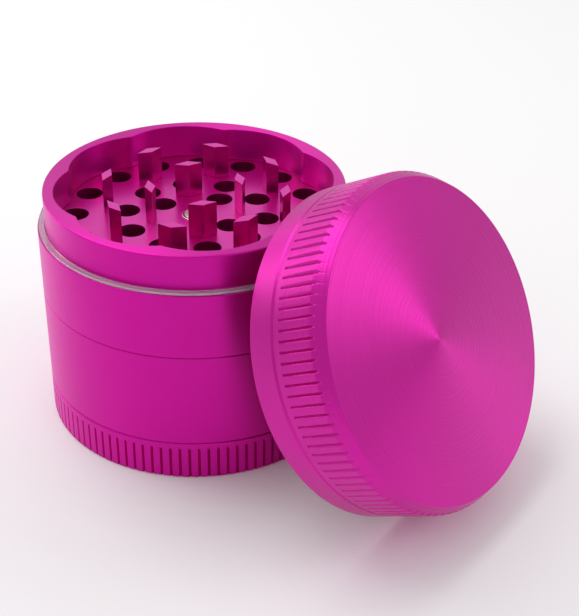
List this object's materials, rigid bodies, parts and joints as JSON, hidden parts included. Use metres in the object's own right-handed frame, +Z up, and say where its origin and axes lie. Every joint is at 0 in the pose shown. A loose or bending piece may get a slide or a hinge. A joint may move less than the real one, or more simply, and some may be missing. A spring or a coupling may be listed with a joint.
{
  "type": "hand herb grinder",
  "caption": "Round four-section hand grinder of anodised aluminium, standing with its toothed lid off and leaning beside the stack.",
  "frame": {"origin": "centre of the catcher's underside, where the stack stands", "axes": "+Z up along the stack's axis; the lid leans towards +X and -Y; the lid's own axis lies in a vertical plane through the stack's axis, 49.7 degrees from +X towards -Y"},
  "size_m": [0.0937, 0.098, 0.0621],
  "materials": {
    "anodised_body": "satin magenta anodising over turned and bead-blasted aluminium",
    "stainless_mesh": "woven stainless wire",
    "stainless_ring": "turned stainless steel",
    "clear_nylon": "clear, slightly milky plastic",
    "plated_steel": "bright nickel plating",
    "magnet": "dull nickel plating"
  },
  "bodies": {
    "base": {"catcher": "anodised_body"},
    "collector_lift": {"screen_ring": "stainless_ring"},
    "collector_section": {"collector": "anodised_body", "mesh_screen": "stainless_mesh"},
    "chamber_lift": {"friction_ring": "clear_nylon"},
    "chamber_section": {"chamber": "anodised_body", "sieve_plate": "anodised_body", "chamber_teeth_outer": "anodised_body", "chamber_teeth_inner": "anodised_body", "chamber_magnet_cup": "plated_steel", "chamber_magnet": "magnet"},
    "lid_carrier": {"lid_magnet_post": "anodised_body", "lid_magnet_cup": "plated_steel", "lid_magnet": "magnet"},
    "lid_section": {"lid": "anodised_body", "lid_teeth_outer": "anodised_body", "lid_teeth_inner": "anodised_body"}
  },
  "joints": [
    {"name": "collector_rise", "type": "slide", "parent": "base", "child": "collector_lift", "axis": [0, 0, 1], "range_m": [0, 0.0015]},
    {"name": "collector_unscrew", "type": "hinge", "parent": "collector_lift", "child": "collector_section", "pos_m": [0, 0, 0.0083], "axis": [0, 0, 1], "range_deg": [0, 720]},
    {"name": "chamber_rise", "type": "slide", "parent": "collector_section", "child": "chamber_lift", "axis": [0, 0, 1], "range_m": [0, 0.0015]},
    {"name": "chamber_unscrew", "type": "hinge", "parent": "chamber_lift", "child": "chamber_section", "pos_m": [0, 0, 0.0283], "axis": [0, 0, 1], "range_deg": [0, 720]},
    {"name": "lid_swing", "type": "hinge", "parent": "base", "child": "lid_carrier", "pos_m": [-0.0139, 0.01639, 0.01663], "axis": [-0.7627, -0.6468, 0], "range_deg": [0, 61.3]},
    {"name": "lid_turn", "type": "hinge", "parent": "lid_carrier", "child": "lid_section", "pos_m": [0.02781, -0.03279, 0.02744], "axis": [0.5673, -0.669, 0.4802], "continuous": true}
  ],
  "couplings": [
    {"joint": "collector_rise", "follows": "collector_unscrew", "m_per_rad": 0.00011936},
    {"joint": "chamber_rise", "follows": "chamber_unscrew", "m_per_rad": 0.00011936}
  ]
}
